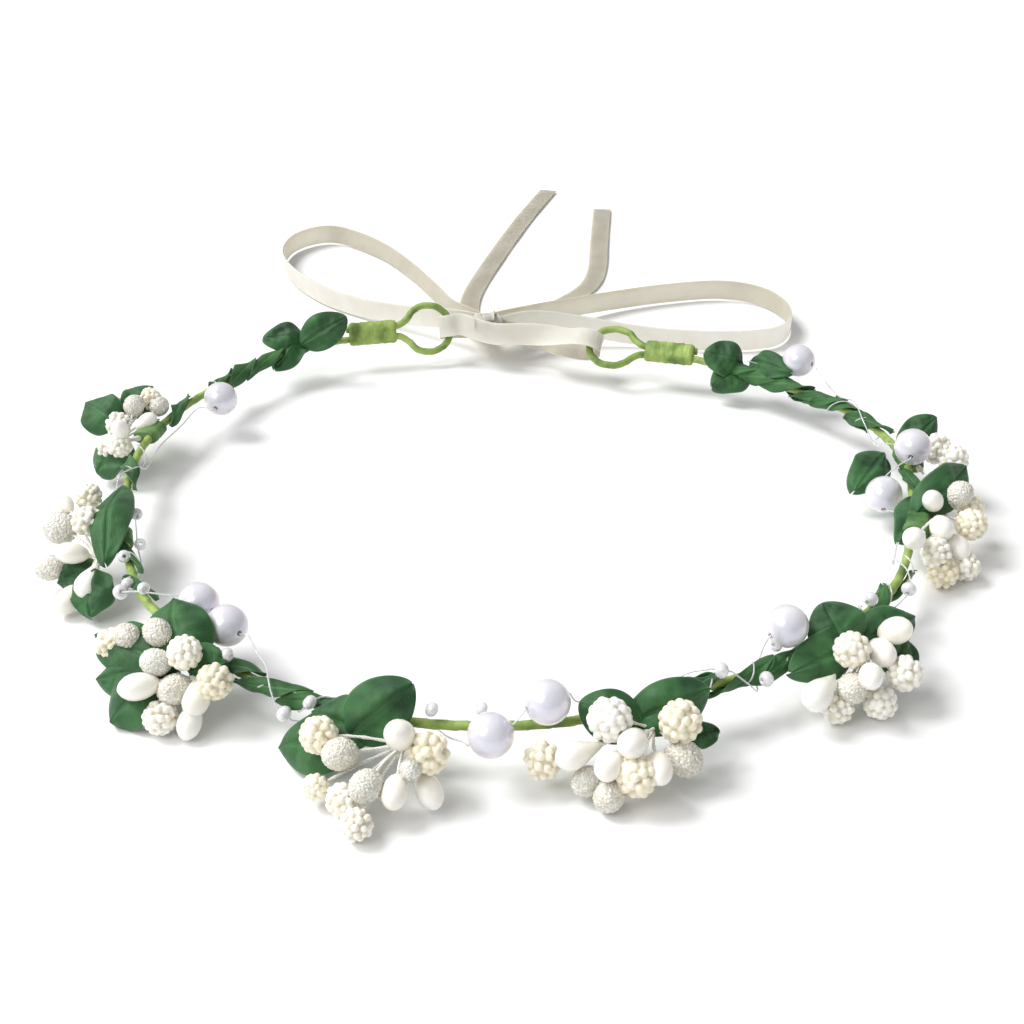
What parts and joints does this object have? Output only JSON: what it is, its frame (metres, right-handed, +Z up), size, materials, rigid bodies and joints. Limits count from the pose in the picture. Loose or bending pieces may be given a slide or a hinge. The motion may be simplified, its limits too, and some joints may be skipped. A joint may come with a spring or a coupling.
{
  "type": "flower crown",
  "caption": "Open head wreath: taped wire hoop with berry sprays, cloth leaves and threaded pearls, tied at the back by a ribbon through two eyelets.",
  "frame": {"origin": "on the surface the crown lies on, under the middle of the crown's outline without the ribbon", "axes": "+Z up, -Y towards the front of the head, +Y towards the two eyelets and the bow at the back, +X to the viewer's right"},
  "size_m": [0.2132, 0.3487, 0.0205],
  "materials": {
    "steel_wire": "satin",
    "green_stem_tape": "matt waxed paper tape",
    "dark_leafy_tape": "matt",
    "cloth_leaf": "matt, fine weave",
    "cream_berry": "satin, some sugared with tiny glass beads",
    "pearl": "pearlescent gloss",
    "clear_seed_bead": "clear gloss",
    "clear_thread": "clear nylon",
    "cream_ribbon": "satin"
  },
  "bodies": {
    "crown": {"bead_thread": "clear_thread", "core_wire": "steel_wire", "hoop_tape": "green_stem_tape", "leaf_10_inner": "cloth_leaf", "leaf_10_outer": "cloth_leaf", "leaf_1_behind": "cloth_leaf", "leaf_1_low": "cloth_leaf", "leaf_2_inner": "cloth_leaf", "leaf_2_low": "cloth_leaf", "leaf_3_low": "cloth_leaf", "leaf_3_side": "cloth_leaf", "leaf_3_top": "cloth_leaf", "leaf_4_low": "cloth_leaf", "leaf_4_top": "cloth_leaf", "leaf_5_right": "cloth_leaf", "leaf_5_top": "cloth_leaf", "leaf_6_right": "cloth_leaf", "leaf_6_top": "cloth_leaf", "leaf_7_behind": "cloth_leaf", "leaf_7_inner": "cloth_leaf", "leaf_8_inner": "cloth_leaf", "leaf_8_top": "cloth_leaf", "leaf_9_side": "cloth_leaf", "leaf_9_top": "cloth_leaf", "leafy_wrap_left_back": "dark_leafy_tape", "leafy_wrap_left_front": "dark_leafy_tape", "leafy_wrap_right_back": "dark_leafy_tape", "leafy_wrap_right_front": "dark_leafy_tape", "left_eyelet_wrap": "green_stem_tape", "ribbon": "cream_ribbon", "right_eyelet_wrap": "green_stem_tape", "seed_1_left": "clear_seed_bead", "seed_2_left_front": "clear_seed_bead", "seed_3_right_front": "clear_seed_bead", "seed_4_right": "clear_seed_bead", "spray_1_left_back": "cream_berry", "spray_2_left": "cream_berry", "spray_3_left_front": "cream_berry", "spray_4_front_left": "cream_berry", "spray_5_front_right": "cream_berry", "spray_6_right_front": "cream_berry", "spray_7_right": "cream_berry", "spray_8_right_back": "cream_berry", "wrap_1_left_back": "green_stem_tape", "wrap_2_left": "green_stem_tape", "wrap_3_left_front": "green_stem_tape", "wrap_4_front_left": "green_stem_tape", "wrap_5_front_right": "green_stem_tape", "wrap_6_right_front": "green_stem_tape", "wrap_7_right": "green_stem_tape", "wrap_8_right_back": "green_stem_tape"},
    "pearl_1_left_back": {"pearl_1_left_back": "pearl"},
    "pearl_2_left_front": {"pearl_2_left_front": "pearl"},
    "pearl_3_left_front": {"pearl_3_left_front": "pearl"},
    "pearl_4_front": {"pearl_4_front": "pearl"},
    "pearl_5_front": {"pearl_5_front": "pearl"},
    "pearl_6_right_front": {"pearl_6_right_front": "pearl"},
    "pearl_7_right": {"pearl_7_right": "pearl"},
    "pearl_8_right": {"pearl_8_right": "pearl"},
    "pearl_9_right_back": {"pearl_9_right_back": "pearl"}
  },
  "joints": [
    {"name": "pearl_1_left_back_spin", "type": "hinge", "parent": "crown", "child": "pearl_1_left_back", "pos_m": [-0.07489, 0.0543, 0.00992], "axis": [-0.168, -0.9704, -0.1735], "continuous": true},
    {"name": "pearl_2_left_front_spin", "type": "hinge", "parent": "crown", "child": "pearl_2_left_front", "pos_m": [-0.06344, -0.04482, 0.01275], "axis": [0.7721, -0.6347, -0.0319], "continuous": true},
    {"name": "pearl_3_left_front_spin", "type": "hinge", "parent": "crown", "child": "pearl_3_left_front", "pos_m": [-0.05663, -0.05234, 0.01242], "axis": [0.7026, -0.7116, 0.0081], "continuous": true},
    {"name": "pearl_4_front_spin", "type": "hinge", "parent": "crown", "child": "pearl_4_front", "pos_m": [-0.00436, -0.08583, 0.01142], "axis": [0.8938, 0.1303, 0.429], "continuous": true},
    {"name": "pearl_5_front_spin", "type": "hinge", "parent": "crown", "child": "pearl_5_front", "pos_m": [0.00587, -0.08132, 0.01537], "axis": [0.8767, 0.476, 0.069], "continuous": true},
    {"name": "pearl_6_right_front_spin", "type": "hinge", "parent": "crown", "child": "pearl_6_right_front", "pos_m": [0.05247, -0.05748, 0.01572], "axis": [0.8121, 0.5448, 0.2088], "continuous": true},
    {"name": "pearl_7_right_spin", "type": "hinge", "parent": "crown", "child": "pearl_7_right", "pos_m": [0.08511, 0.00747, 0.00828], "axis": [0.1311, 0.8777, 0.4609], "continuous": true},
    {"name": "pearl_8_right_spin", "type": "hinge", "parent": "crown", "child": "pearl_8_right", "pos_m": [0.09249, 0.01546, 0.01643], "axis": [0.297, 0.942, 0.1565], "continuous": true},
    {"name": "pearl_9_right_back_spin", "type": "hinge", "parent": "crown", "child": "pearl_9_right_back", "pos_m": [0.07433, 0.06799, 0.01434], "axis": [-0.7357, 0.6748, -0.0592], "continuous": true}
  ]
}
